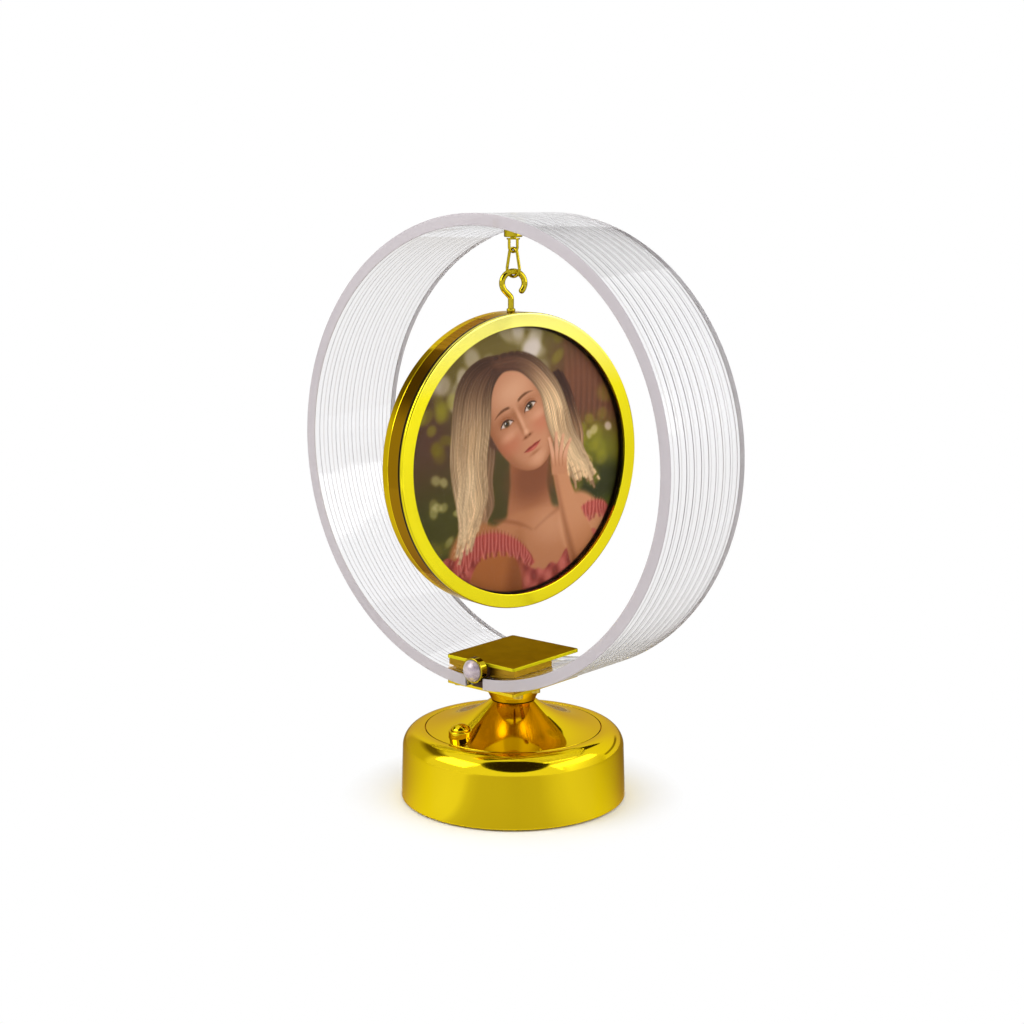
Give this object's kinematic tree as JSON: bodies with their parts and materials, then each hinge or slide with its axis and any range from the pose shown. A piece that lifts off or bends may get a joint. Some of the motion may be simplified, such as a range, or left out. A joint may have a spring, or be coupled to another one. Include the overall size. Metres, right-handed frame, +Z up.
{
  "type": "rotating motion lamp",
  "caption": "Display lamp whose drum base turns a clear upright ring, with a round framed print hanging inside the ring on a short chain.",
  "frame": {"origin": "centre of the underside of the base", "axes": "+Z up along the turning axis, X along the plane of the ring, -Y towards the pearl button on the ring's clamp, which is the front"},
  "size_m": [0.179, 0.1132, 0.2267],
  "materials": {
    "foam_pad": "matte",
    "inner_plastic": "matte",
    "screw_steel": "satin",
    "gold_plating": "polished",
    "ballast_iron": "matte",
    "bearing_bronze": "satin",
    "motor_steel": "satin",
    "gear_nylon": "satin",
    "gear_brass": "satin",
    "drum_plastic": "satin",
    "contact_brass": "satin",
    "circuit_board": "satin",
    "board_components": "satin",
    "inlet_plastic": "satin",
    "nut_steel": "satin",
    "cap_gold": "polished",
    "button_gold": "polished",
    "switch_plastic": "satin",
    "shaft_steel": "polished",
    "flare_gold": "polished",
    "satin_brass": "satin",
    "brushed_brass": "satin",
    "clamp_screw_brass": "satin",
    "clear_acrylic": "polished",
    "carrier_plastic": "satin",
    "light_board": "satin",
    "light_chip": "satin",
    "switch_black": "satin",
    "bezel_gold": "polished",
    "pearl": "gloss",
    "chain_gold": "polished",
    "frame_gold": "polished",
    "frame_gold_side": "polished",
    "frame_gold_back": "polished",
    "clear_disc": "polished",
    "printed_card": "satin",
    "backing_board": "matte"
  },
  "bodies": {
    "base": {"base_pad": "foam_pad", "base_floor": "inner_plastic", "floor_screws": "screw_steel", "base_shell": "gold_plating", "ballast_ring": "ballast_iron", "lower_bush": "bearing_bronze", "chassis_plate": "inner_plastic", "chassis_screws": "screw_steel", "motor_can": "motor_steel", "motor_end_cap": "inner_plastic", "motor_screws": "screw_steel", "brush_block": "drum_plastic", "contact_brushes": "contact_brass", "driver_board": "circuit_board", "board_screws": "screw_steel", "board_parts": "board_components", "dc_inlet": "inlet_plastic", "inlet_nut": "nut_steel", "trumpet_cap": "cap_gold", "cap_screws": "screw_steel", "upper_bush": "bearing_bronze", "button_bezel": "button_gold", "push_switch": "switch_plastic", "switch_board": "circuit_board", "switch_screws": "screw_steel"},
    "pinion_drive": {"motor_shaft": "screw_steel", "motor_pinion": "gear_brass"},
    "power_button": {"power_button": "button_gold", "switch_plunger": "switch_plastic"},
    "rotor": {"rotor_shaft": "shaft_steel", "drive_gear": "gear_nylon", "slip_drum": "drum_plastic", "contact_rings": "contact_brass", "neck_flare": "flare_gold", "neck_grub_screw": "screw_steel", "lower_plate": "satin_brass", "flare_screws": "screw_steel", "upper_plate": "brushed_brass", "lower_wedges": "satin_brass", "upper_saddle": "satin_brass", "clamp_screws": "clamp_screw_brass", "acrylic_ring": "clear_acrylic", "light_carrier": "carrier_plastic", "light_boards": "light_board", "light_chips": "light_chip", "light_switch": "switch_black", "pearl_bezel": "bezel_gold", "hanger_mount": "chain_gold", "hanger_cup": "chain_gold"},
    "ring_button": {"pearl_button": "pearl"},
    "swivel": {"swivel_eye": "chain_gold"},
    "link": {"chain_link": "chain_gold"},
    "pendant": {"hook": "chain_gold", "hook_nut": "chain_gold", "front_bezel": "frame_gold", "frame_body": "frame_gold_side", "back_cover": "frame_gold_back", "clear_cover": "clear_disc", "print_disc": "printed_card", "backing_disc": "backing_board"}
  },
  "joints": [
    {"name": "rotor_spin", "type": "hinge", "parent": "base", "child": "rotor", "pos_m": [0, 0, 0.04], "axis": [0, 0, 1], "continuous": true},
    {"name": "pinion_spin", "type": "hinge", "parent": "base", "child": "pinion_drive", "pos_m": [0.0224, 0, 0.012], "axis": [0, 0, 1], "continuous": true},
    {"name": "power_button_press", "type": "slide", "parent": "base", "child": "power_button", "axis": [0, 0, -1], "range_m": [0, 0.0012], "stiffness_N_per_m": 150, "springref_m": -0.001},
    {"name": "ring_button_press", "type": "slide", "parent": "rotor", "child": "ring_button", "axis": [0, 1, 0], "range_m": [0, 0.0008], "stiffness_N_per_m": 150, "springref_m": -0.001},
    {"name": "swivel_turn", "type": "hinge", "parent": "rotor", "child": "swivel", "pos_m": [0, 0, 0.218], "axis": [0, 0, 1], "continuous": true},
    {"name": "link_swing", "type": "hinge", "parent": "swivel", "child": "link", "pos_m": [0, 0, 0.21213], "axis": [0.309, 0.9511, 0], "range_deg": [-6, 6]},
    {"name": "pendant_swing", "type": "hinge", "parent": "link", "child": "pendant", "pos_m": [0, 0, 0.20286], "axis": [1, 0, 0], "range_deg": [-10, 10]}
  ],
  "couplings": [
    {"joint": "pinion_spin", "follows": "rotor_spin", "ratio": -3.5714}
  ]
}
